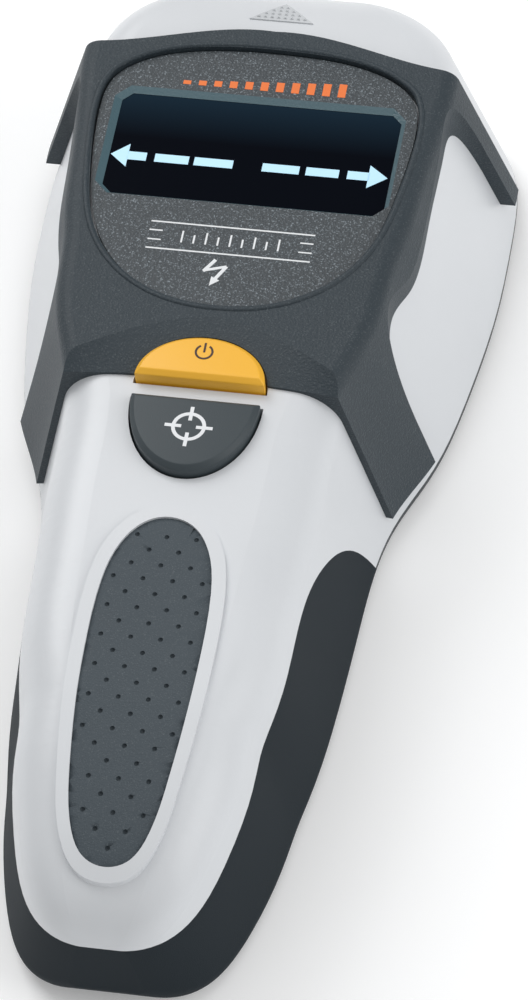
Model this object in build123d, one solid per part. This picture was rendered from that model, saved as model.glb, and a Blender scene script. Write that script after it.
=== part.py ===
from build123d import *
import math
import os

# Handheld stud finder lying on its back, sensing face down on Z = 0.
# +X is its right side seen from the display, +Y runs to the nose, +Z comes out of the face.

# Driving dimensions, millimetres
length = 185.0
head_draft = 0.327           # how far the head's sides lean in for each millimetre of height
handle_draft = 0.19          # the same for the handle
wall = 2.8                   # white shell
grip_skin = 1.5              # soft overmould over the handle
back_plate = 3.0             # rear cover thickness, which is also the parting height
bezel_top = 39.0
leg_low = 6.5                # where the bezel's lower legs end
ear_low = 9.5                # where its upper legs end
face_z = 37.0                # white shell's flat front under the bezel
gap = 0.35                   # running gap round what moves
press_travel = 1.0
door_angle = 80.0

# Stations along the body: y, half width at the back, front height, back height,
# front corner radius, back corner radius
stations = [
    (92.5, 15.0, 24.0, 4.0, 5.0, 2.5),
    (91.0, 23.0, 29.0, 2.2, 7.0, 2.5),
    (88.0, 30.0, 32.8, 0.8, 9.0, 2.5),
    (84.0, 35.0, 35.2, 0.2, 9.0, 2.5),
    (79.0, 38.3, 36.5, 0.0, 8.0, 2.5),
    (72.0, 40.1, face_z, 0.0, 6.0, 2.5),
    (62.0, 40.5, face_z, 0.0, 5.0, 2.5),
    (50.0, 40.3, face_z, 0.0, 5.0, 2.5),
    (36.0, 38.9, face_z, 0.0, 5.0, 2.5),
    (24.0, 37.0, face_z, 0.0, 5.5, 2.5),
    (14.0, 34.4, face_z, 0.0, 6.5, 2.5),
    (7.0, 31.6, 36.7, 0.0, 7.5, 2.5),
    (0.0, 29.3, 36.4, 0.0, 8.5, 2.5),
    (-8.0, 28.0, 36.2, 0.0, 9.0, 2.5),
    (-20.0, 27.3, 36.2, 0.0, 9.0, 2.5),
    (-35.0, 26.5, 36.0, 0.0, 9.0, 2.5),
    (-50.0, 24.9, 35.2, 0.0, 9.0, 2.5),
    (-64.0, 22.8, 33.6, 0.0, 8.5, 2.5),
    (-76.0, 20.1, 31.0, 0.0, 7.5, 2.5),
    (-84.0, 17.2, 28.0, 0.4, 6.5, 2.5),
    (-89.0, 13.8, 24.6, 1.6, 5.0, 2.5),
    (-91.6, 10.0, 21.0, 4.0, 3.0, 2.0),
    (-92.5, 7.0, 18.5, 6.0, 1.4, 1.2),
]

# Display and panel
window_half = 24.5
window_low = 38.8
window_high = 61.7
window_corner = 2.4
panel_top = 38.2
lens_top = 37.7

# Controls
button_bevel = 0.8
flange_reach = 1.0
flange_low = 31.2
flange_high = 33.0
plunger_low = 28.6
plunger_radius = 1.6
mode_switch_y = 5.6
cal_switch_y = -7.0
mode_half = 10.6
mode_base = 2.4
mode_rise = 8.4
mode_top = 39.4
cal_half = 10.5
cal_base = -0.9
cal_drop = 14.3
cal_top = 38.6

# Thumb pad, as an oval that narrows to the butt end
pad_high = -23.6
pad_low = -84.2

# Inside
board_z = 25.0
board_thick = 1.6
sensor_z = 5.0
battery_size = (26.5, 48.5, 17.5)
battery_end = -15.0
battery_low = 3.7
screw_places = [(27.0, 79.0), (-27.0, 79.0), (30.5, 28.0), (-30.5, 28.0), (19.5, -15.0), (-19.5, -15.0), (0.0, -80.0)]
board_screws = [(21.5, 66.8), (-21.5, 66.8), (18.0, 22.0), (-18.0, 22.0), (0.0, -22.0)]
sensor_screws = [(20.0, 26.0), (-20.0, 26.0), (17.0, 80.0), (-17.0, 80.0)]
wire_radius = 0.65
wire_x = 6.0

# Battery door in the back of the handle
door_half = 14.4
door_far = -13.0
door_pivot = -67.0
door_thick = 2.2
door_low = 0.3
pin_radius = 0.6
pin_half = 18.0


def draft(y):
    """How far the sides lean in for each millimetre of height: more on the head than on the handle."""
    share = min(max((y + 12.0) / 32.0, 0.0), 1.0)
    return handle_draft + (head_draft - handle_draft) * share


def section(y, half, top, low, front_radius, back_radius, side_inset, top_inset, low_inset):
    """One cross section of the body: a trapezoid with rounded corners."""
    low_z = low + low_inset
    top_z = top - top_inset
    slope = draft(y)
    lean = math.hypot(1.0, slope)
    low_x = half - slope * (low_z - 2.0) - side_inset * lean
    top_x = half - slope * (top_z - 2.0) - side_inset * lean
    front = max(front_radius - max(side_inset, 0.0) * 0.8, 0.7)
    back = max(back_radius - max(side_inset, 0.0) * 0.8, 0.5)
    corners = [(low_x, low_z), (top_x, top_z), (-top_x, top_z), (-low_x, low_z)]
    plane = Plane(origin=(0, y, 0), x_dir=(1, 0, 0), z_dir=(0, -1, 0))
    outline = make_face(Polyline(corners, close=True))
    upper = outline.vertices().sort_by(Axis.Y)[-2:]
    outline = fillet(upper, front)
    lower = outline.vertices().filter_by(lambda v: abs(v.Y - low_z) < 0.01 and abs(v.X) > low_x - 0.01)
    outline = fillet(lower, back)
    return plane * outline


def hull(side_inset=0.0, top_inset=None, low_inset=None):
    """The body's outer form, or the same form drawn in by an inset."""
    top_inset = side_inset if top_inset is None else top_inset
    low_inset = side_inset if low_inset is None else low_inset
    stretch = (length / 2 - side_inset) / (length / 2)
    skipped = 0 if side_inset < 0.5 else 1 if side_inset < 3.5 else 2
    rows = stations[skipped:len(stations) - skipped]
    faces = []
    for y, half, top, low, front_radius, back_radius in rows:
        faces.append(section(y * stretch, half, top, low, front_radius, back_radius,
                             side_inset, top_inset, low_inset))
    return loft(faces)


def mirrored(points, grow=0.0):
    """A closed smooth outline from its right half, top centre to bottom centre, grown all round."""
    middle = (points[0][1] + points[-1][1]) / 2
    wider = 1 + grow / max(x for x, y in points)
    taller = 1 + grow / (points[0][1] - middle)
    right = [(x * wider, middle + (y - middle) * taller) for x, y in points]
    left = [(-x, y) for x, y in reversed(right[1:-1])]
    return make_face(Spline(*(right + left), periodic=True))


def prism(face, low, high):
    """A flat outline raised between two heights."""
    return Pos(0, 0, low) * extrude(face, high - low)


def block(size, centre):
    return Pos(*centre) * Box(*size)


def rod(radius, low, high, x, y):
    return Pos(x, y, (low + high) / 2) * Cylinder(radius, high - low)


def half_ellipse(half, rise, base, grow=0.0):
    """A half oval standing on a straight edge; a negative rise hangs below it."""
    side = 1.0 if rise > 0 else -1.0
    curve = [(-(half + grow) * math.cos(math.radians(a)),
              base + side * (abs(rise) + grow) * math.sin(math.radians(a))) for a in range(0, 181, 15)]
    arch = Spline(*curve)
    if grow == 0.0:
        return make_face(Curve() + [arch, Line(curve[-1], curve[0])])
    foot = base - side * grow
    sides = Polyline([curve[-1], (half + grow, foot), (-half - grow, foot), curve[0]])
    return make_face(Curve() + [arch, sides])


def panel_outline(grow=0.0):
    """The display panel: an oval, flatter at the nose and rounder at the handle."""
    points = [(0, 71.0), (9, 70.6), (17, 69.0), (22, 66.6), (25.4, 63.0), (26.5, 57.5), (26.2, 50.6),
              (25.2, 42.7), (23.0, 33.0), (17.6, 24.4), (9.0, 19.0), (0, 17.6)]
    return mirrored(points, grow)


def pad_outline(grow=0.0):
    """The thumb pad: a long oval, widest above its middle, narrow at the butt end."""
    points = [(0, pad_high), (4.0, -25.0), (7.2, -29.6), (8.8, -36.5), (9.2, -47.0), (8.8, -59.0),
              (7.8, -70.0), (6.2, -78.6), (3.6, -83.0), (0, pad_low)]
    return mirrored(points, grow)


def window_outline(grow=0.0):
    """The display window: a wide rectangle with its corners cut off."""
    half = window_half + grow
    low = window_low - grow
    high = window_high + grow
    cut = window_corner
    return make_face(Polyline([(-half + cut, high), (half - cut, high), (half, high - cut), (half, low + cut),
                               (half - cut, low), (-half + cut, low), (-half, low + cut),
                               (-half, high - cut)], close=True))


def marker_outline():
    return make_face(Polyline([(0, 84.4), (5.4, 79.6), (-5.4, 79.6)], close=True))


def grip_region():
    """Everything under the line where the soft grip meets the white cover, seen from the side."""
    top = Spline((-5.2, -1.0), (-6.6, 5.0), (-9.6, 12.2), (-14.0, 18.0), (-20.0, 22.8), (-28.0, 26.2),
                 (-36.0, 26.8), (-50.0, 24.6), (-66.0, 21.8), (-80.0, 19.2), (-96.0, 18.6))
    rest = Polyline([(-96.0, 18.6), (-96.0, -1.0), (-5.2, -1.0)])
    side = Plane(origin=(-50, 0, 0), x_dir=(0, 1, 0), z_dir=(1, 0, 0))
    return extrude(side * make_face(Curve() + [top, rest]), 100)


def soft_grip(outer):
    """A soft skin over the sides of the handle and round the butt end."""
    core = hull(grip_skin, 0.0, -2.0)
    return (outer & grip_region()) - core


def bezel_outline():
    """The bezel seen from the display: a broad X whose four legs fold down the sides."""
    top = Spline((0, 75.2), (12, 74.0), (22, 71.4), (30, 70.0))
    ear = Polyline([(30, 70.0), (44, 69.6), (44, 66.2), (35.4, 66.2)])
    waist = Spline((35.4, 66.2), (31.8, 64.4), (30.7, 58.0), (30.4, 44.0), (29.2, 31.0), (27.4, 21.6),
                   (28.8, 17.0), (32.6, 14.4))
    leg = Polyline([(32.6, 14.4), (42, 12.0), (37.5, 3.0), (31.0, 1.4)])
    lower = Spline((31.0, 1.4), (25, 2.2), (16, 3.2), (0, 3.6))
    half = [top, ear, waist, leg, lower]
    return make_face(Curve() + half + [edge.mirror(Plane.YZ) for edge in half])


def arch_cutter():
    """Clears the slope from the bezel's lower ridge down to the handle."""
    def outline(points, z):
        left = [(-x, y) for x, y in reversed(points[1:])]
        curve = Spline(*(left + points))
        end_x, end_y = points[-1]
        tail = Polyline([(end_x, end_y), (end_x, -30), (-end_x, -30), (-end_x, end_y)])
        return Pos(0, 0, z) * make_face(Curve() + [curve, tail])
    foot = outline([(0, 3.4), (16, 3.0), (25, 2.0), (33, 0.6)], 37.0)
    ridge = outline([(0, 14.8), (9, 12.6), (14, 10.4), (19.5, 7.2), (25, 4.6), (33, 2.6)], 39.0)
    above = outline([(0, 26.0), (9, 22.2), (14, 17.8), (19.5, 11.4), (25, 7.2), (33, 4.6)], 41.0)
    return loft([foot, ridge], ruled=True) + loft([ridge, above], ruled=True)


def bezel_part(outer):
    """The dark bezel: a skin over the head, open over the display and the mode button."""
    proud = {79.0: 2.6, 72.0: 2.8, 62.0: 2.2, 50.0: 1.0, 36.0: 1.2, 24.0: 1.6, 14.0: 2.0, 7.0: 1.6, 0.0: 1.2,
             -8.0: 1.2}
    faces = []
    for y, half, top, low, front_radius, back_radius in stations:
        if -10.0 < y < 85.0:
            faces.append(section(y, half + proud.get(y, 1.0), bezel_top, low, 3.0, back_radius, 0.0, 0.0, 0.0))
    skin = loft(faces) & prism(bezel_outline(), leg_low, 45)
    skin = skin - block((100, 50, ear_low), (0, 65, ear_low / 2)) - outer - arch_cutter() - prism(panel_outline(gap), 36.5, 45)
    return skin - prism(half_ellipse(mode_half, mode_rise, mode_base, gap), 30, 45)


def drilled(shape, holes):
    """The shape with each hole cut out of it."""
    for hole in holes:
        shape = shape - hole
    return shape


def pad_rim():
    """A raised rounded rim of the white cover round the thumb pad."""
    ring = pad_outline(2.2) - pad_outline()
    return (hull(-0.7) - hull(1.0)) & prism(ring, 20, 45)


def front_cover(outer, inner, grip):
    """The deep white shell with its bosses, posts and battery ribs."""
    shell = (outer - inner) & prism(Rectangle(200, 300), back_plate, 60)
    bosses = [rod(3.0, back_plate, 33.0, x, y) for x, y in screw_places]
    posts = [rod(2.2, board_z + board_thick, 35.6, x, y) for x, y in board_screws]
    ribs = [block((20, 1.6, 13.2), (0, y, 28.0)) for y in (-34.0, -54.0)]
    supports = Part() + bosses + posts + ribs
    shell = shell + pad_rim() + (supports & hull(1.0)) - grip
    shell = shell - prism(window_outline(0.1), 30, 45)
    shell = shell - prism(half_ellipse(mode_half, mode_rise, mode_base, gap), 30, 45)
    shell = shell - prism(half_ellipse(cal_half, -cal_drop, cal_base, gap), 30, 45)
    shell = shell - prism(marker_outline(), 30, 45) - thumb_pad()
    pilots = [rod(1.35, 0, 13.0, x, y) for x, y in screw_places]
    pilots += [rod(0.95, 20, 32.0, x, y) for x, y in board_screws]
    return drilled(shell, pilots)


def thumb_pad():
    """The soft dimpled pad let into the front of the handle."""
    return (hull(-0.25) - hull(1.2)) & prism(pad_outline(), 15, 45)


def rear_cover(outer, inner, grip):
    """The flat back with its battery opening, screw holes, locating lip and board pillars."""
    plate = (outer - grip) & prism(Rectangle(200, 300), 0, back_plate)
    lip = (inner & prism(Rectangle(200, 170), back_plate, 5.0)) - hull(wall + 1.3, 0.0, -2.0)
    lip = lip & prism(Rectangle(200, 88), back_plate, 5.0).moved(Location((0, 34, 0)))
    pillars = [rod(2.6, back_plate, sensor_z, x, y) for x, y in sensor_screws]
    cover = plate + lip
    for pillar in pillars:
        cover = cover + pillar
    for x, y in screw_places:
        cover = cover - rod(3.4, back_plate, 6.0, x, y) - rod(1.5, 0, 6.0, x, y) - rod(2.8, 0, 1.9, x, y)
    cover = drilled(cover, [rod(0.85, 1.2, 6.0, x, y) for x, y in sensor_screws])
    opening_low = door_pivot - door_thick / 2 - gap
    opening = block((2 * (door_half + gap), door_far + gap - opening_low, 10),
                    (0, (door_far + gap + opening_low) / 2, 3))
    cover = cover - opening
    notch = Pos(0, door_far + 1.5, 0) * Cylinder(5.0, 2.4)
    pin_hole = Pos(0, door_pivot, pin_z()) * Rot(0, 90, 0) * Cylinder(pin_radius + 0.01, 2 * pin_half)
    return cover - notch - pin_hole


def pin_z():
    return door_low + door_thick / 2


def battery_door():
    """The back door of the battery bay, rounded at the end that turns on the pin."""
    run = door_far - door_pivot
    leaf = block((2 * door_half, run, door_thick), (0, door_pivot + run / 2, pin_z()))
    barrel = Pos(0, door_pivot, pin_z()) * Rot(0, 90, 0) * Cylinder(door_thick / 2, 2 * door_half)
    grips = [block((16, 1.0, 0.5), (0, door_far - 6.0 - 2.4 * i, door_low)) for i in range(5)]
    hole = Pos(0, door_pivot, pin_z()) * Rot(0, 90, 0) * Cylinder(pin_radius + 0.05, 60)
    return drilled(leaf + barrel, grips + [hole])


def door_pin():
    return Pos(0, door_pivot, pin_z()) * Rot(0, 90, 0) * Cylinder(pin_radius, 2 * pin_half)


def door_foam():
    return block((18, 26, 0.7), (0, -39, door_low + door_thick + 0.35))


def button(half, rise, base, top):
    """A push button with a bevelled top and a flange that keeps it under the cover."""
    cap = prism(half_ellipse(half, rise, base), flange_high - 0.1, top)
    cap = chamfer(cap.edges().group_by(Axis.Z)[-1], button_bevel)
    further = math.copysign(flange_reach, rise)
    return cap + prism(half_ellipse(half + flange_reach, rise + further, base), flange_low, flange_high)


def plunger(y):
    return rod(plunger_radius, plunger_low, flange_low, 0, y)


def tact_switch(y):
    """A board switch with a bore for its plunger and its four legs."""
    low = board_z + board_thick
    case = block((7.0, 7.0, 3.6), (0, y, low + 1.8))
    return case - rod(plunger_radius + 0.05, plunger_low - press_travel - 0.3, 40, 0, y)


def main_board():
    """The main circuit board, with a tongue to the marker lamp."""
    half = [(6, 85), (6, 70.0), (25, 70), (25, 24), (21, 15), (16, 0), (12.5, -12), (12.5, -26)]
    points = half + [(-x, y) for x, y in reversed(half)]
    board = prism(make_face(Polyline(points, close=True)), board_z, board_z + board_thick)
    return drilled(board, [rod(1.1, 20, 30, x, y) for x, y in board_screws])


def sensor_board():
    """The sensing board that lies close behind the rear cover."""
    half = [(22.0, 84), (22.0, 72), (28.0, 66), (28.0, 34), (22.0, 22)]
    points = half + [(-x, y) for x, y in reversed(half)]
    board = prism(make_face(Polyline(points, close=True)), sensor_z, sensor_z + board_thick)
    return drilled(board, [rod(1.0, 0, 10, x, y) for x, y in sensor_screws])


def sensor_plates():
    """Three copper sensing plates on the back of the sensing board."""
    return [block((12.0, 34.0, 0.3), (x, 52, sensor_z - 0.15)) for x in (-19, 0, 19)]


def coil_bobbin():
    low = sensor_z + board_thick
    spool = rod(8.0, low, low + 7.0, 0, 52)
    spool = spool + rod(11.5, low, low + 1.0, 0, 52) + rod(11.5, low + 6.0, low + 7.0, 0, 52)
    return spool - rod(6.4, 0, 20, 0, 52)


def coil_winding():
    low = sensor_z + board_thick + 1.0
    return rod(10.6, low, low + 5.0, 0, 52) - rod(8.0, 0, 20, 0, 52)


def link_socket():
    return block((16.0, 2.6, 8.4), (0, 74, board_z - 4.2))


def link_header():
    low = sensor_z + board_thick
    return block((16.0, 2.6, 10.0), (0, 74, low + 5.0))


def controller_chip():
    return block((10.0, 10.0, 1.4), (9.0, 29.0, board_z + board_thick + 0.7))


def clock_crystal():
    return block((8.0, 3.4, 2.6), (-9.0, 30.0, board_z + board_thick + 1.3))


def filter_capacitors():
    return [rod(2.5, board_z - 8.0, board_z, x, 26.0) for x in (5.0, 12.0)]


def buzzer():
    can = rod(6.0, board_z - 7.5, board_z, -9.0, 14.0)
    return can - rod(1.0, board_z - 7.6, board_z - 5.0, -9.0, 14.0)


def marker_led():
    base = board_z + board_thick
    return rod(1.9, base, base + 1.0, 0, 82) + rod(1.5, base, base + 3.4, 0, 82) + Pos(0, 82, base + 3.4) * Sphere(1.5)


def marker_lens():
    return (hull(-0.2) - hull(1.4)) & prism(marker_outline(), 30, 45)


def display_panel():
    plate = prism(panel_outline(), face_z + 0.1, panel_top)
    return plate - prism(window_outline(), 30, 45)


def display_lens():
    return prism(window_outline(), 36.3, lens_top)


def lcd_holder():
    frame = block((52.4, 28.0, 6.4), (0, 50.2, board_z + board_thick + 3.2))
    return frame - block((50.0, 25.6, 20), (0, 50.2, 30))


def lcd_backlight():
    return block((49.6, 18.6, 2.4), (0, 50.2, 29.2))


def lcd_glass():
    return block((49.6, 25.2, 2.4), (0, 50.2, 31.8))


def lcd_connectors():
    low = board_z + board_thick
    return [block((44.0, 2.0, 30.6 - low), (0, y, (30.6 + low) / 2)) for y in (39.0, 61.4)]


def battery():
    """A nine volt block, terminals towards the nose."""
    wide, tall, deep = battery_size
    can = block((wide, tall, deep), (0, battery_end - tall / 2, battery_low + deep / 2))
    can = fillet(can.edges().filter_by(Axis.Y), 1.5)
    return can


def battery_terminals():
    z = battery_low + battery_size[2] / 2
    studs = []
    for x in (-6.35, 6.35):
        studs.append(Pos(x, battery_end + 1.3, z) * Rot(90, 0, 0) * Cylinder(2.9, 2.6))
    return studs


def battery_snap():
    z = battery_low + battery_size[2] / 2
    plate = block((25.0, 4.0, 12.5), (0, battery_end + 2.1, z))
    for stud in battery_terminals():
        plate = plate - stud
    return plate


def lead_route(x):
    start = battery_end + 4.1
    return [(x, start, 12.5), (x, start + 5.2, 12.5), (x, start + 8.6, 17.6), (x, start + 8.6, board_z)]


def battery_lead(x):
    """One insulated wire from the battery snap up to the main board."""
    points = lead_route(x)
    runs = [(Vector(*b) - Vector(*a)) for a, b in zip(points, points[1:])]
    radii = []
    for first, second in zip(runs, runs[1:]):
        turn = math.radians(first.get_angle(second))
        radii.append(0.45 * min(first.length, second.length) / math.tan(turn / 2))
    path = FilletPolyline(*points, radius=radii)
    start = Plane(origin=path @ 0, z_dir=path % 0)
    lead = sweep(start * Circle(wire_radius), path)
    print("lead radii", [round(r, 1) for r in radii], "volume", round(lead.volume, 2),
          "section x length", round(math.pi * wire_radius ** 2 * path.length, 2))
    return lead


def screw(head_radius, head_high, shank_radius, low, shank_high, x, y, socket=0.6):
    """A pan head screw, head towards the back, with a cross recess."""
    fastener = rod(head_radius, low, low + head_high, x, y) + rod(shank_radius, low, shank_high, x, y)
    cross = [block((2.0, 0.5, socket), (x, y, low + socket / 2)), block((0.5, 2.0, socket), (x, y, low + socket / 2))]
    return drilled(fastener, cross)


def housing_screws():
    return [screw(2.6, 1.4, 1.3, 0.5, 12.0, x, y) for x, y in screw_places]


def board_screw_set():
    return [screw(2.0, 1.2, 0.9, board_z - 1.2, 31.0, x, y, 0.5) for x, y in board_screws]


def sensor_screw_set():
    top = sensor_z + board_thick
    return [Pos(x, y, 0) * (rod(1.9, top, top + 1.1, 0, 0) + rod(0.8, 1.6, top, 0, 0)) for x, y in sensor_screws]


def save(name, shape):
    """Write one node; a list is a group of separate solids."""
    shape = Compound(children=shape) if isinstance(shape, list) else shape
    export_step(shape, f"parts/{name}.step")


def main():
    os.makedirs("parts", exist_ok=True)
    outer = hull() & prism(Rectangle(200, 300), 0, 60)
    inner = hull(wall)
    grip = soft_grip(outer)
    save("front_cover", front_cover(outer, inner, grip))
    save("rear_cover", rear_cover(outer, inner, grip))
    save("soft_grip", grip)
    save("thumb_pad", thumb_pad())
    save("bezel", bezel_part(outer))
    save("display_panel", display_panel())
    save("display_lens", display_lens())
    save("lcd_glass", lcd_glass())
    save("lcd_backlight", lcd_backlight())
    save("lcd_holder", lcd_holder())
    save("lcd_connectors", lcd_connectors())
    save("marker_lens", marker_lens())
    save("marker_led", marker_led())
    save("mode_button", button(mode_half, mode_rise, mode_base, mode_top))
    save("mode_plunger", plunger(mode_switch_y))
    save("mode_switch", tact_switch(mode_switch_y))
    save("cal_button", button(cal_half, -cal_drop, cal_base, cal_top))
    save("cal_plunger", plunger(cal_switch_y))
    save("cal_switch", tact_switch(cal_switch_y))
    save("main_board", main_board())
    save("controller_chip", controller_chip())
    save("clock_crystal", clock_crystal())
    save("filter_capacitors", filter_capacitors())
    save("buzzer", buzzer())
    save("sensor_board", sensor_board())
    save("sensor_plates", sensor_plates())
    save("coil_bobbin", coil_bobbin())
    save("coil_winding", coil_winding())
    save("link_socket", link_socket())
    save("link_header", link_header())
    save("battery", battery())
    save("battery_terminals", battery_terminals())
    save("battery_snap", battery_snap())
    save("battery_lead_red", battery_lead(wire_x))
    save("battery_lead_black", battery_lead(-wire_x))
    save("battery_door", battery_door())
    save("door_pin", door_pin())
    save("door_foam", door_foam())
    save("housing_screws", housing_screws())
    save("board_screws", board_screw_set())
    save("sensor_screws", sensor_screw_set())


if __name__ == "__main__":
    main()
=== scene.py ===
import bpy
import math
from mathutils import Matrix, Vector


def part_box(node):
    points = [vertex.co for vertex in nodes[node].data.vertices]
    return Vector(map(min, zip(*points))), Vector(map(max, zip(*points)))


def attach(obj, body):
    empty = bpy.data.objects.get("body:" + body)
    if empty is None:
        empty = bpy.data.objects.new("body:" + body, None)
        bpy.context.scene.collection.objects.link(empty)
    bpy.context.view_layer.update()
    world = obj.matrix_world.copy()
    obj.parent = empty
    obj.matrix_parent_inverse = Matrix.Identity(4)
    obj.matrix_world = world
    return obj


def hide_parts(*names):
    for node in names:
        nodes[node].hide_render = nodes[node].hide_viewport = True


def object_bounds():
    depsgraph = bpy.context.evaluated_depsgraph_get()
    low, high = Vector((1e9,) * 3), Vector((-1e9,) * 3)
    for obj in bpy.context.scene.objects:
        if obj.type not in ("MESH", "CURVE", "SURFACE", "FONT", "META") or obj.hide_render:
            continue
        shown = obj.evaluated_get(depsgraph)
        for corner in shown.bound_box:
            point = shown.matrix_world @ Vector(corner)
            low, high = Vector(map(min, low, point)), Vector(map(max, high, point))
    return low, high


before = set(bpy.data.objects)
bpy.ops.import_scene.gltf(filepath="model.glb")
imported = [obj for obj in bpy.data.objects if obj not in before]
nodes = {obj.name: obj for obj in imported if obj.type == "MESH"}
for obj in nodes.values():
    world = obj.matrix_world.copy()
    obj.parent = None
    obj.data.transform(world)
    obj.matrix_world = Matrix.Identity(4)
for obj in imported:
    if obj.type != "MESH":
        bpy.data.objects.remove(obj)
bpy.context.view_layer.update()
MM = 0.001


# ---------------------------------------------------------------- shader groups

def new_group(name, inputs, outputs):
    """A node group with named inputs, each with its starting value, and named outputs."""
    group = bpy.data.node_groups.new(name, "ShaderNodeTree")
    for label, kind, value in inputs:
        socket = group.interface.new_socket(label, in_out="INPUT", socket_type=kind)
        socket.default_value = value
    for label, kind in outputs:
        group.interface.new_socket(label, in_out="OUTPUT", socket_type=kind)
    start = group.nodes.new("NodeGroupInput")
    end = group.nodes.new("NodeGroupOutput")
    return group, start, end


def math_node(tree, operation, first, second=None):
    """One sum in a shader: each side is a number or another node's output."""
    node = tree.nodes.new("ShaderNodeMath")
    node.operation = operation
    for socket, value in zip(node.inputs, (first, second)):
        if value is None:
            continue
        if isinstance(value, (int, float)):
            socket.default_value = value
        else:
            tree.links.new(value, socket)
    return node.outputs[0]


def moulded_grain_group():
    """Spark-eroded plastic: a fine pebbled height, a slow cloudy mask, and a mask of painted glints on the
    grain's raised points.
    """
    group, start, end = new_group(
        "moulded_grain",
        [("Grain Size", "NodeSocketFloat", 0.4), ("Cloud Size", "NodeSocketFloat", 18.0)],
        [("Height", "NodeSocketFloat"), ("Cloud", "NodeSocketFloat"), ("Painted Glint", "NodeSocketFloat")])
    place = group.nodes.new("ShaderNodeTexCoord")
    pebble = group.nodes.new("ShaderNodeTexVoronoi")
    pebble.feature = "SMOOTH_F1"
    group.links.new(place.outputs["Object"], pebble.inputs["Vector"])
    group.links.new(math_node(group, "DIVIDE", 1000.0, start.outputs["Grain Size"]), pebble.inputs["Scale"])
    noise = group.nodes.new("ShaderNodeTexNoise")
    noise.inputs["Detail"].default_value = 3.0
    group.links.new(place.outputs["Object"], noise.inputs["Vector"])
    group.links.new(math_node(group, "DIVIDE", 1400.0, start.outputs["Grain Size"]), noise.inputs["Scale"])
    cloud = group.nodes.new("ShaderNodeTexNoise")
    cloud.inputs["Detail"].default_value = 4.0
    group.links.new(place.outputs["Object"], cloud.inputs["Vector"])
    group.links.new(math_node(group, "DIVIDE", 1000.0, start.outputs["Cloud Size"]), cloud.inputs["Scale"])
    height = math_node(group, "ADD", pebble.outputs["Distance"], noise.outputs["Fac"])
    group.links.new(height, end.inputs["Height"])
    group.links.new(cloud.outputs["Fac"], end.inputs["Cloud"])
    # painted glints: this mask is high where the grain's noise is high, so light is painted onto the grain's
    # raised points
    painted_glint = math_node(group, "SUBTRACT", noise.outputs["Fac"], 0.56)
    group.links.new(math_node(group, "MULTIPLY", painted_glint, 9.0), end.inputs["Painted Glint"])
    return group


GRAIN = moulded_grain_group()


def principled(material):
    return material.node_tree.nodes["Principled BSDF"]


def moulded(name, dark, light, grain, bump, roughness, painted_glint=None, painted_glint_amount=0.0, **settings):
    """A moulded plastic or rubber: two close colours, pebbled grain, uneven gloss and, if given, painted
    glints on the grain's raised points.
    """
    material = bpy.data.materials.new(name)
    material.use_nodes = True
    tree = material.node_tree
    shader = principled(material)
    effect = tree.nodes.new("ShaderNodeGroup")
    effect.node_tree = GRAIN
    effect.inputs["Grain Size"].default_value = grain
    blend = tree.nodes.new("ShaderNodeMix")
    blend.data_type = "RGBA"
    blend.inputs["A"].default_value = (*dark, 1.0)
    blend.inputs["B"].default_value = (*light, 1.0)
    tree.links.new(effect.outputs["Cloud"], blend.inputs["Factor"])
    colour = blend.outputs["Result"]
    # painted glints: a lighter colour mixed in on the grain's raised points, standing in for light catching
    # them
    if painted_glint:
        glint = tree.nodes.new("ShaderNodeMix")
        glint.data_type = "RGBA"
        tree.links.new(colour, glint.inputs["A"])
        glint.inputs["B"].default_value = (*painted_glint, 1.0)
        amount = tree.nodes.new("ShaderNodeMath")
        amount.operation = "MULTIPLY"
        amount.use_clamp = True
        tree.links.new(effect.outputs["Painted Glint"], amount.inputs[0])
        amount.inputs[1].default_value = painted_glint_amount
        tree.links.new(amount.outputs[0], glint.inputs["Factor"])
        colour = glint.outputs["Result"]
    tree.links.new(colour, shader.inputs["Base Color"])
    gloss = tree.nodes.new("ShaderNodeMapRange")
    gloss.inputs["To Min"].default_value = roughness - 0.05
    gloss.inputs["To Max"].default_value = roughness + 0.05
    tree.links.new(effect.outputs["Cloud"], gloss.inputs["Value"])
    tree.links.new(gloss.outputs["Result"], shader.inputs["Roughness"])
    relief = tree.nodes.new("ShaderNodeBump")
    relief.inputs["Strength"].default_value = bump
    relief.inputs["Distance"].default_value = grain * MM * 0.35
    tree.links.new(effect.outputs["Height"], relief.inputs["Height"])
    tree.links.new(relief.outputs["Normal"], shader.inputs["Normal"])
    for socket, value in settings.items():
        shader.inputs[socket.replace("_", " ")].default_value = value
    return material


# ---------------------------------------------------------------- materials

WHITE = moulded("pearl_white", (0.63, 0.65, 0.675), (0.68, 0.70, 0.725), 0.16, 0.10, 0.36, Coat_Weight=0.15,
                Coat_Roughness=0.3)
BACK = moulded("back_dark", (0.030, 0.036, 0.040), (0.040, 0.047, 0.052), 0.35, 0.5, 0.55)
# the bezel's lighter specks are painted glints on its raised grain
BEZEL = moulded("bezel_grain", (0.025, 0.036, 0.045), (0.032, 0.045, 0.055), 0.38, 0.55, 0.52,
                painted_glint=(0.11, 0.13, 0.14), painted_glint_amount=0.35, Specular_IOR_Level=0.35)
# the panel's lighter specks are painted glints on its raised grain
PANEL = moulded("panel_sparkle", (0.034, 0.042, 0.049), (0.043, 0.053, 0.060), 0.36, 0.5, 0.46,
                painted_glint=(0.24, 0.28, 0.31), painted_glint_amount=0.75, Specular_IOR_Level=0.45)
GRIP = moulded("soft_grip", (0.013, 0.019, 0.024), (0.018, 0.025, 0.031), 0.22, 0.25, 0.66,
              Specular_IOR_Level=0.12)
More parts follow.
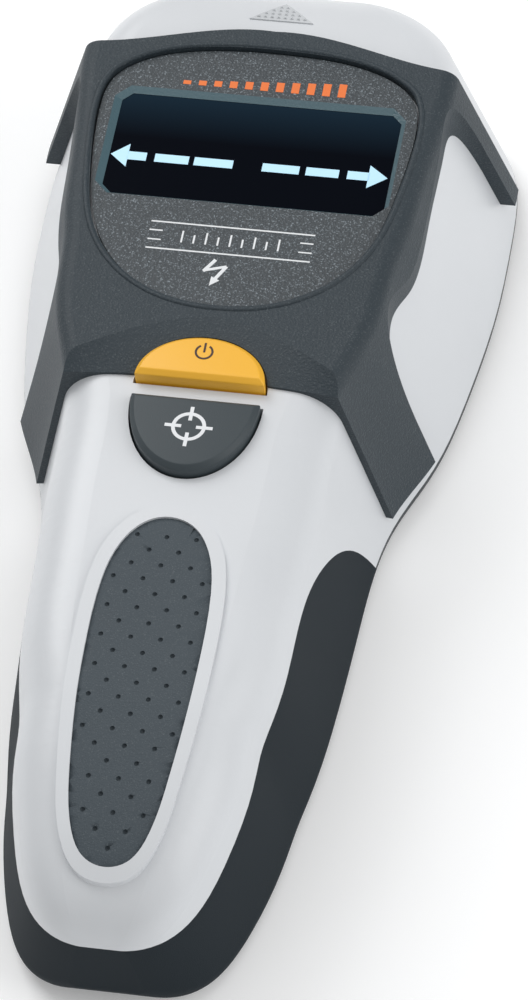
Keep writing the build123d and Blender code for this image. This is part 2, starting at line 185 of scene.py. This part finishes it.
# the pad's lighter specks are painted glints on its raised grain
PAD = moulded("pad_rubber", (0.055, 0.070, 0.083), (0.066, 0.083, 0.096), 0.30, 0.5, 0.62,
              painted_glint=(0.14, 0.16, 0.17), painted_glint_amount=0.4, Specular_IOR_Level=0.3)
YELLOW = moulded("mode_yellow", (0.88, 0.45, 0.030), (0.93, 0.50, 0.040), 0.2, 0.12, 0.38)
CAL_GREY = moulded("cal_grey", (0.042, 0.055, 0.063), (0.050, 0.064, 0.072), 0.22, 0.2, 0.45,
                 Specular_IOR_Level=0.35)
BLACK = moulded("black_part", (0.018, 0.019, 0.021), (0.026, 0.027, 0.029), 0.25, 0.3, 0.5)
IVORY = moulded("ivory_part", (0.70, 0.68, 0.60), (0.76, 0.74, 0.66), 0.25, 0.2, 0.45)
BOARD = moulded("board_green", (0.018, 0.11, 0.055), (0.026, 0.15, 0.075), 0.5, 0.15, 0.35, Coat_Weight=0.4)
COPPER = moulded("copper", (0.75, 0.36, 0.20), (0.85, 0.44, 0.26), 0.2, 0.15, 0.3, Metallic=1.0)
METAL = moulded("bright_metal", (0.62, 0.62, 0.64), (0.72, 0.72, 0.74), 0.2, 0.1, 0.25, Metallic=1.0)
STEEL = moulded("screw_steel", (0.42, 0.42, 0.44), (0.52, 0.52, 0.54), 0.2, 0.2, 0.38, Metallic=1.0)
CASE = moulded("battery_case", (0.10, 0.11, 0.13), (0.13, 0.145, 0.17), 0.3, 0.1, 0.3)
RED_WIRE = moulded("wire_red", (0.45, 0.02, 0.02), (0.55, 0.03, 0.03), 0.2, 0.15, 0.42)
BLACK_WIRE = moulded("wire_black", (0.014, 0.014, 0.015), (0.022, 0.022, 0.023), 0.2, 0.15, 0.42)
FOAM = moulded("foam_grey", (0.12, 0.12, 0.13), (0.17, 0.17, 0.18), 0.6, 0.9, 0.85)
LAMP = moulded("lamp_red", (0.55, 0.03, 0.025), (0.65, 0.04, 0.03), 0.2, 0.05, 0.2)
CELL = moulded("lcd_cell", (0.10, 0.13, 0.125), (0.13, 0.16, 0.15), 0.3, 0.05, 0.2)

NODE_MATERIALS = {
    WHITE: ["front_cover"],
    BACK: ["rear_cover", "battery_door"],
    BEZEL: ["bezel"],
    PANEL: ["display_panel"],
    GRIP: ["soft_grip"],
    PAD: ["thumb_pad"],
    YELLOW: ["mode_button"],
    CAL_GREY: ["cal_button"],
    BLACK: ["lcd_holder", "mode_plunger", "mode_switch", "cal_plunger", "cal_switch", "controller_chip",
            "buzzer", "link_socket", "link_header", "battery_snap"],
    IVORY: ["lcd_backlight", "coil_bobbin"],
    BOARD: ["main_board", "sensor_board"],
    COPPER: ["sensor_plates", "coil_winding"],
    METAL: ["clock_crystal", "battery_terminals", "door_pin"],
    STEEL: ["housing_screws", "board_screws", "sensor_screws"],
    CASE: ["battery", "filter_capacitors"],
    RED_WIRE: ["battery_lead_red"],
    BLACK_WIRE: ["battery_lead_black"],
    FOAM: ["door_foam", "lcd_connectors"],
    LAMP: ["marker_led"],
    CELL: ["lcd_glass"],
}


def paint(piece, material):
    """Give a piece one material in place of any it has."""
    piece.data.materials.clear()
    piece.data.materials.append(material)


def paint_nodes():
    for material, names in NODE_MATERIALS.items():
        for name in names:
            paint(nodes[name], material)


def display_black_painted_glow():
    """The tinted window: near black, with a painted glow, a faint blue light painted into its colour that
    rises towards its top edge.
    """
    low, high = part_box("display_lens")
    material = bpy.data.materials.new("display_black_painted_glow")
    material.use_nodes = True
    tree = material.node_tree
    shader = principled(material)
    place = tree.nodes.new("ShaderNodeTexCoord")
    parts = tree.nodes.new("ShaderNodeSeparateXYZ")
    tree.links.new(place.outputs["Object"], parts.inputs[0])
    rise = tree.nodes.new("ShaderNodeMapRange")
    rise.inputs["From Min"].default_value = low[1]
    rise.inputs["From Max"].default_value = high[1]
    tree.links.new(parts.outputs["Y"], rise.inputs["Value"])
    # painted glow: the ramp stays near black up to the middle, then lightens the colour to a faint blue at
    # the top edge
    ramp = tree.nodes.new("ShaderNodeValToRGB")
    ramp.color_ramp.elements[0].position = 0.0
    ramp.color_ramp.elements[0].color = (0.002, 0.003, 0.006, 1)
    ramp.color_ramp.elements[1].position = 1.0
    ramp.color_ramp.elements[1].color = (0.010, 0.024, 0.040, 1)
    middle = ramp.color_ramp.elements.new(0.55)
    middle.color = (0.002, 0.003, 0.006, 1)
    tree.links.new(rise.outputs["Result"], ramp.inputs["Fac"])
    tree.links.new(ramp.outputs["Color"], shader.inputs["Base Color"])
    shader.inputs["Roughness"].default_value = 0.10
    shader.inputs["Specular IOR Level"].default_value = 0.04
    return material


paint_nodes()
DISPLAY = display_black_painted_glow()
MARKER = moulded("marker_clear", (0.50, 0.52, 0.54), (0.62, 0.64, 0.66), 0.3, 0.3, 0.18)
paint(nodes["display_lens"], DISPLAY)
paint(nodes["marker_lens"], MARKER)
PRINT_WHITE = moulded("print_white", (0.74, 0.76, 0.78), (0.82, 0.84, 0.86), 0.2, 0.1, 0.5)
PRINT_ORANGE = moulded("print_orange", (0.80, 0.16, 0.025), (0.86, 0.20, 0.035), 0.2, 0.1, 0.5)
PRINT_BROWN = moulded("print_brown", (0.030, 0.010, 0.008), (0.045, 0.016, 0.012), 0.2, 0.1, 0.5)
SEGMENT_BLUE = moulded("segment_blue", (0.45, 0.72, 0.88), (0.52, 0.78, 0.93), 0.2, 0.02, 0.4)
principled(SEGMENT_BLUE).inputs["Emission Color"].default_value = (0.45, 0.75, 0.95, 1)
principled(SEGMENT_BLUE).inputs["Emission Strength"].default_value = 0.15
FRAME_TEAL = moulded("window_teal", (0.040, 0.085, 0.105), (0.055, 0.115, 0.140), 0.4, 0.3, 0.3)


# ---------------------------------------------------------------- modelling helpers

def only(piece):
    """Select one piece and make it active."""
    bpy.ops.object.select_all(action="DESELECT")
    piece.select_set(True)
    bpy.context.view_layer.objects.active = piece


def settle(piece):
    """Move a piece's place into its mesh and turn its faces outwards."""
    only(piece)
    bpy.ops.object.transform_apply(location=True, rotation=True, scale=True)
    bpy.ops.object.mode_set(mode="EDIT")
    bpy.ops.mesh.select_all(action="SELECT")
    bpy.ops.mesh.normals_make_consistent(inside=False)
    bpy.ops.object.mode_set(mode="OBJECT")


def bar(start, end, width, low, thick=0.04):
    """A thin printed bar between two points, in millimetres, standing on height low."""
    span = Vector(end) - Vector(start)
    middle = (Vector(start) + Vector(end)) / 2
    bpy.ops.object.select_all(action="DESELECT")
    bpy.ops.mesh.primitive_plane_add(size=1, location=(middle.x * MM, middle.y * MM, low * MM),
                                     rotation=(0, 0, math.atan2(span.y, span.x)))
    piece = bpy.context.object
    piece.scale = (span.length * MM, width * MM, 1)
    bpy.ops.object.transform_apply(location=True, rotation=True, scale=True)
    bpy.ops.object.mode_set(mode="EDIT")
    bpy.ops.mesh.select_all(action="SELECT")
    bpy.ops.mesh.extrude_region_move(TRANSFORM_OT_translate={"value": (0, 0, thick * MM)})
    bpy.ops.object.mode_set(mode="OBJECT")
    settle(piece)
    return piece


def head(base, tip, half, low, thick=0.04):
    """A thin triangle with its base centred on one point and its tip on another."""
    span = Vector(tip) - Vector(base)
    centre = Vector(base) + span / 3
    bpy.ops.object.select_all(action="DESELECT")
    bpy.ops.mesh.primitive_cylinder_add(vertices=3, radius=1, depth=1,
                                        location=(centre.x * MM, centre.y * MM, (low + thick / 2) * MM),
                                        rotation=(0, 0, math.atan2(span.y, span.x) - math.pi / 2))
    piece = bpy.context.object
    piece.scale = (half / math.cos(math.radians(30)) * MM, span.length / 1.5 * MM, thick * MM)
    settle(piece)
    return piece


def arc(centre, radius, width, start, sweep, low, thick=0.04):
    """A flat printed arc: a small square section spun round its centre."""
    bpy.ops.object.select_all(action="DESELECT")
    x = centre[0] + radius * math.cos(math.radians(start))
    y = centre[1] + radius * math.sin(math.radians(start))
    bpy.ops.mesh.primitive_plane_add(size=1, location=(x * MM, y * MM, (low + thick / 2) * MM),
                                     rotation=(math.pi / 2, 0, math.radians(start)))
    piece = bpy.context.object
    piece.scale = (width * MM, thick * MM, 1)
    bpy.ops.object.transform_apply(location=True, rotation=True, scale=True)
    bpy.ops.object.mode_set(mode="EDIT")
    bpy.ops.mesh.select_all(action="SELECT")
    bpy.ops.mesh.spin(steps=40, angle=math.radians(sweep), center=(centre[0] * MM, centre[1] * MM, low * MM),
                      axis=(0, 0, 1))
    bpy.ops.mesh.select_all(action="SELECT")
    bpy.ops.mesh.remove_doubles(threshold=0.000002)
    bpy.ops.object.mode_set(mode="OBJECT")
    settle(piece)
    return piece


def joined(name, parts, material, body):
    """Join parts into one named piece that rides on a body."""
    bpy.ops.object.select_all(action="DESELECT")
    for part in parts:
        part.select_set(True)
    bpy.context.view_layer.objects.active = parts[0]
    if len(parts) > 1:
        bpy.ops.object.join()
    piece = bpy.context.object
    if not piece.data.polygons:
        raise RuntimeError("no faces in " + name)
    piece.name = name
    paint(piece, material)
    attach(piece, body)
    return piece


def merged_copy(node, name, whole=True):
    """A working copy of a CAD node with its doubled points merged and, if whole, its flat faces undivided."""
    piece = nodes[node].copy()
    piece.data = nodes[node].data.copy()
    piece.parent = None
    bpy.context.collection.objects.link(piece)
    piece.name = name
    only(piece)
    bpy.ops.object.mode_set(mode="EDIT")
    bpy.ops.mesh.select_all(action="SELECT")
    bpy.ops.mesh.remove_doubles(threshold=0.00001)
    if whole:
        bpy.ops.mesh.dissolve_limited(angle_limit=math.radians(0.5))
    bpy.ops.object.mode_set(mode="OBJECT")
    return piece


# ---------------------------------------------------------------- display

LENS_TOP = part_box("display_lens")[1][2] / MM
PANEL_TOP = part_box("display_panel")[1][2] / MM
MODE_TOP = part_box("mode_button")[1][2] / MM
CAL_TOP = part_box("cal_button")[1][2] / MM
BEZEL_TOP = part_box("bezel")[1][2] / MM
LIP_RADIUS = 0.55
LIP_REACH = 0.95
DIMPLE_RADIUS = 0.42
DIMPLE_STEP = 4.75
DIMPLE_ROWS = 22
DIMPLE_ROW_STEP = 2.7
DIMPLE_FIRST_Y = -27.2
WINDOW_EDGE = 1.3


def display_arrows():
    """Two segmented arrows on the glass that point to either side."""
    y = 47.3
    parts = []
    for side, tip, base, bars in ((-1, 23.6, 20.1, ((20.2, 17.0), (15.6, 9.9), (9.0, 2.5))),
                                  (1, 23.9, 20.1, ((20.2, 16.6), (15.2, 9.7), (8.6, 2.4)))):
        parts.append(head((side * base, y), (side * (tip - 0.6), y), 2.4, LENS_TOP))
        for outer, inner in bars:
            parts.append(bar((side * outer, y), (side * inner, y), 1.7, LENS_TOP))
    joined("display_arrows", parts, SEGMENT_BLUE, "root")


def window_bevel():
    """The sloping edge round the window, from the panel's top down to the glass."""
    piece = merged_copy("display_lens", "window_bevel")
    top = LENS_TOP * MM
    bpy.ops.object.mode_set(mode="EDIT")
    bpy.ops.mesh.select_mode(type="FACE")
    bpy.ops.mesh.select_all(action="DESELECT")
    bpy.ops.object.mode_set(mode="OBJECT")
    for face in piece.data.polygons:
        face.select = not (face.normal.z > 0.9 and abs(face.center.z - top) < 0.00002)
    bpy.ops.object.mode_set(mode="EDIT")
    bpy.ops.mesh.delete(type="FACE")
    bpy.ops.object.mode_set(mode="OBJECT")
    outline = [point.co.copy() for point in piece.data.vertices]
    bpy.ops.object.mode_set(mode="EDIT")
    bpy.ops.mesh.select_all(action="SELECT")
    bpy.ops.mesh.inset(thickness=WINDOW_EDGE * MM, use_boundary=True)
    bpy.ops.mesh.delete(type="FACE")
    bpy.ops.object.mode_set(mode="OBJECT")
    middle = (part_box("display_lens")[0][1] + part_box("display_lens")[1][1]) / 2
    for point in piece.data.vertices:
        outside = min((point.co - corner).length for corner in outline) < 0.05 * MM
        point.co.z = (PANEL_TOP if outside else LENS_TOP + 0.08) * MM
        if not outside and point.co.y < middle:
            point.co.y -= 0.9 * MM
        if not outside and point.co.x > 0:
            point.co.x += 0.6 * MM
    only(piece)
    shell = piece.modifiers.new("thickness", "SOLIDIFY")
    shell.thickness = 0.03 * MM
    bpy.ops.object.modifier_apply(modifier=shell.name)
    settle(piece)
    joined("window_bevel", [piece], FRAME_TEAL, "root")


# ---------------------------------------------------------------- printing

def panel_print():
    """Thin rules with short ticks between them, and a small live-wire arrow."""
    parts = [bar((-13.6, y), (13.6, y), 0.28, PANEL_TOP) for y in (33.8, 28.3)]
    for side in (-1, 1):
        parts += [bar((side * 13.6, y), (side * 11.4, y), 0.26, PANEL_TOP) for y in (32.0, 30.1)]
    parts += [bar((x, 29.9), (x, 31.6 + (x % 4 == 0) * 0.7), 0.3, PANEL_TOP) for x in range(-8, 9, 2)]
    parts.append(bar((-1.7, 27.0), (-3.3, 24.5), 0.6, PANEL_TOP))
    parts.append(bar((-3.4, 24.6), (0.3, 25.8), 0.5, PANEL_TOP + 0.005))
    parts.append(bar((0.3, 25.8), (-1.2, 23.0), 0.6, PANEL_TOP + 0.01))
    parts.append(head((-1.1, 23.2), (-1.9, 21.6), 0.8, PANEL_TOP + 0.015))
    joined("panel_print", parts, PRINT_WHITE, "root")


def scale_bars():
    """A plain row of bars that grow to the right, above the window."""
    parts = []
    for step in range(11):
        x = -13.0 + 2.6 * step
        parts.append(bar((x, 63.0), (x, 63.8 + 0.2 * step), 1.3, PANEL_TOP))
    joined("scale_bars", parts, PRINT_ORANGE, "root")


def button_symbols():
    """A power symbol on the yellow button and a plain aiming mark on the dark one."""
    power = [arc((0, 7.4), 1.35, 0.34, 58, 296, MODE_TOP), bar((0, 7.3), (0, 9.2), 0.34, MODE_TOP)]
    joined("power_symbol", power, PRINT_BROWN, "mode_button")
    aim = [arc((0, -7.0), 2.5, 0.6, 0, 360, CAL_TOP)]
    for angle in range(0, 360, 90):
        out = Vector((math.cos(math.radians(angle)), math.sin(math.radians(angle))))
        centre = Vector((0, -7.0))
        aim.append(bar(centre + out * 1.2, centre + out * 3.9, 0.6, CAL_TOP + 0.005))
    joined("target_symbol", aim, PRINT_WHITE, "cal_button")


# ---------------------------------------------------------------- rounded and dimpled pieces

def rounded(node, name, material, body, width, angle=25):
    """A CAD node with its sharp edges rolled over."""
    piece = merged_copy(node, name)
    roll = piece.modifiers.new("roll", "BEVEL")
    roll.width = width * MM
    roll.segments = 3
    roll.limit_method = "ANGLE"
    roll.angle_limit = math.radians(angle)
    bpy.ops.object.modifier_apply(modifier=roll.name)
    bpy.ops.object.shade_smooth_by_angle(angle=math.radians(35))
    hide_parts(node)
    return joined(name, [piece], material, body)


def surface_height(piece, x, y):
    """The height in metres of a piece's upper surface at a place in millimetres, or None beside it."""
    hit, place, normal, index = piece.ray_cast(Vector((x * MM, y * MM, 0.1)), Vector((0, 0, -1)))
    return place.z if hit else None


def dimpled_pad():
    """The thumb pad with its staggered rows of round dimples."""
    piece = merged_copy("thumb_pad", "thumb_pad_dimpled", whole=False)
    tools = []
    for row in range(DIMPLE_ROWS):
        y = DIMPLE_FIRST_Y - DIMPLE_ROW_STEP * row
        for column in range(-3, 4):
            x = DIMPLE_STEP * (column + 0.5 * (row % 2))
            around = ((1, 0), (-1, 0), (0, 1), (0, -1), (0, 0))
            ring = [surface_height(piece, x + dx, y + dy) for dx, dy in around]
            if None in ring or min(ring) < ring[4] - 0.0008:
                continue
            bpy.ops.object.select_all(action="DESELECT")
            bpy.ops.mesh.primitive_uv_sphere_add(segments=14, ring_count=8, radius=DIMPLE_RADIUS * MM,
                                                 location=(x * MM, y * MM, ring[4] - 0.00008))
            tools.append(bpy.context.object)
    bpy.ops.object.select_all(action="DESELECT")
    for tool in tools:
        tool.select_set(True)
    bpy.context.view_layer.objects.active = tools[0]
    bpy.ops.object.join()
    cutter = bpy.context.object
    only(cutter)
    bpy.ops.object.transform_apply(location=True, rotation=True, scale=True)
    only(piece)
    cut = piece.modifiers.new("dimples", "BOOLEAN")
    cut.operation = "DIFFERENCE"
    cut.object = cutter
    bpy.ops.object.modifier_apply(modifier=cut.name)
    bpy.data.objects.remove(cutter)
    only(piece)
    bpy.ops.object.shade_smooth_by_angle(angle=math.radians(35))
    even = piece.modifiers.new("even", "WEIGHTED_NORMAL")
    even.keep_sharp = True
    bpy.ops.object.modifier_apply(modifier=even.name)
    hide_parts("thumb_pad")
    joined("thumb_pad_dimpled", [piece], PAD, "root")


def marker_relief():
    """Small three-sided pyramids over the nose marker."""
    parts = []
    for row in range(4):
        y = 80.3 + 0.95 * row
        for column in range(8 - 2 * row):
            x = (column - (7 - 2 * row) / 2) * 1.12
            top = surface_height(nodes["marker_lens"], x, y)
            if top is None:
                continue
            bpy.ops.object.select_all(action="DESELECT")
            bpy.ops.mesh.primitive_cone_add(vertices=3, radius1=0.6 * MM, radius2=0.08 * MM, depth=0.4 * MM,
                                            location=(x * MM, y * MM, top + 0.00008))
            parts.append(bpy.context.object)
    for part in parts:
        settle(part)
    joined("marker_relief", parts, MARKER, "root")


def panel_lip():
    """The rounded lip of the bezel's opening, on the panel's own outline."""
    low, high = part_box("display_panel")
    points = {}
    for point in nodes["display_panel"].data.vertices:
        if abs(point.co.z - PANEL_TOP * MM) < 0.00002:
            angle = math.atan2(point.co.y - (low[1] + high[1]) / 2, point.co.x)
            reach = math.hypot(point.co.x, point.co.y - (low[1] + high[1]) / 2)
            step = round(angle / (2 * math.pi) * 72) % 72
            if reach > points.get(step, (0, None))[0]:
                points[step] = (reach, point.co.copy())
    route = [points[step][1] for step in sorted(points)]
    data = bpy.data.curves.new("panel_lip", "CURVE")
    data.dimensions = "3D"
    spline = data.splines.new("NURBS")
    spline.points.add(len(route) - 1)
    middle = Vector((0, (low[1] + high[1]) / 2, 0))
    for target, place in zip(spline.points, route):
        flat = Vector((place.x, place.y, 0)) - middle
        spot = middle + flat * (1 + LIP_REACH * MM / flat.length)
        target.co = (spot.x, spot.y, BEZEL_TOP * MM - 0.00025, 1)
    spline.use_cyclic_u = True
    spline.order_u = 3
    data.bevel_depth = LIP_RADIUS * MM
    data.bevel_resolution = 4
    lip = bpy.data.objects.new("panel_lip", data)
    bpy.context.collection.objects.link(lip)
    only(lip)
    bpy.ops.object.convert(target="MESH")
    lip = bpy.context.object
    bpy.ops.object.shade_smooth()
    joined("panel_lip", [lip], BEZEL, "root")


display_arrows()
window_bevel()
panel_lip()
panel_print()
scale_bars()
button_symbols()
rounded("mode_button", "mode_button_domed", YELLOW, "mode_button", 0.5)
rounded("cal_button", "cal_button_rolled", CAL_GREY, "cal_button", 0.25)
dimpled_pad()
marker_relief()


# ---------------------------------------------------------------- stage, light and camera

def add_floor():
    """A plain pale floor, faintly lit from within so that it stays near white."""
    bpy.ops.object.select_all(action="DESELECT")
    bpy.ops.mesh.primitive_plane_add(size=6.0, location=(0, 0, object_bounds()[0][2] - 0.0002))
    floor = bpy.context.object
    floor.name = "floor"
    material = bpy.data.materials.new("pale_floor")
    material.use_nodes = True
    principled(material).inputs["Base Color"].default_value = (0.88, 0.885, 0.89, 1)
    principled(material).inputs["Roughness"].default_value = 0.9
    principled(material).inputs["Emission Color"].default_value = (1, 1, 1, 1)
    principled(material).inputs["Emission Strength"].default_value = 0.18
    floor.data.materials.append(material)


def soft_light(name, place, target, size, power):
    """A rectangular studio light that faces a point."""
    data = bpy.data.lights.new(name, "AREA")
    data.shape = "RECTANGLE"
    data.size, data.size_y = size
    data.energy = power
    light = bpy.data.objects.new(name, data)
    bpy.context.collection.objects.link(light)
    light.location = place
    aim = Vector(place) - Vector(target)
    light.rotation_euler = aim.to_track_quat("Z", "Y").to_euler()


def add_lights():
    soft_light("key", (-0.55, 0.55, 0.75), (0, 0.02, 0.02), (0.6, 0.6), 4.7)
    soft_light("fill", (0.9, -0.1, 0.55), (0, 0, 0.02), (0.7, 0.9), 4.0)
    soft_light("overhead", (0.0, 0.2, 1.3), (0, 0, 0), (1.0, 1.0), 3.0)
    world = bpy.data.worlds.new("studio")
    world.use_nodes = True
    world.node_tree.nodes["Background"].inputs["Color"].default_value = (1, 1, 1, 1)
    world.node_tree.nodes["Background"].inputs["Strength"].default_value = 0.45
    bpy.context.scene.world = world
    bpy.context.scene.view_settings.view_transform = "Standard"


def add_camera():
    """The camera, in front of the tool and above its handle."""
    turn = math.radians(11.78)
    tilt = math.radians(34.82)
    roll = math.radians(11.96)
    distance = 0.972
    target = Vector((0.0, 0.0, 0.020))
    aim = Vector((0.0108, -0.0067, 0.020))
    out = Vector((math.sin(turn) * math.cos(tilt), -math.sin(tilt), math.cos(turn) * math.cos(tilt)))
    place = target + out * distance
    back = (place - aim).normalized()
    right = Vector((0, 1, 0)).cross(back).normalized()
    up = back.cross(right)
    turned = Matrix((right, up, back)).transposed() @ Matrix.Rotation(roll, 3, "Z")
    data = bpy.data.cameras.new("camera")
    data.sensor_fit = "VERTICAL"
    data.sensor_height = 36.0
    data.lens = 215.6
    camera = bpy.data.objects.new("camera", data)
    bpy.context.collection.objects.link(camera)
    camera.matrix_world = Matrix.Translation(place) @ turned.to_4x4()
    bpy.context.scene.camera = camera


add_floor()
add_lights()
add_camera()
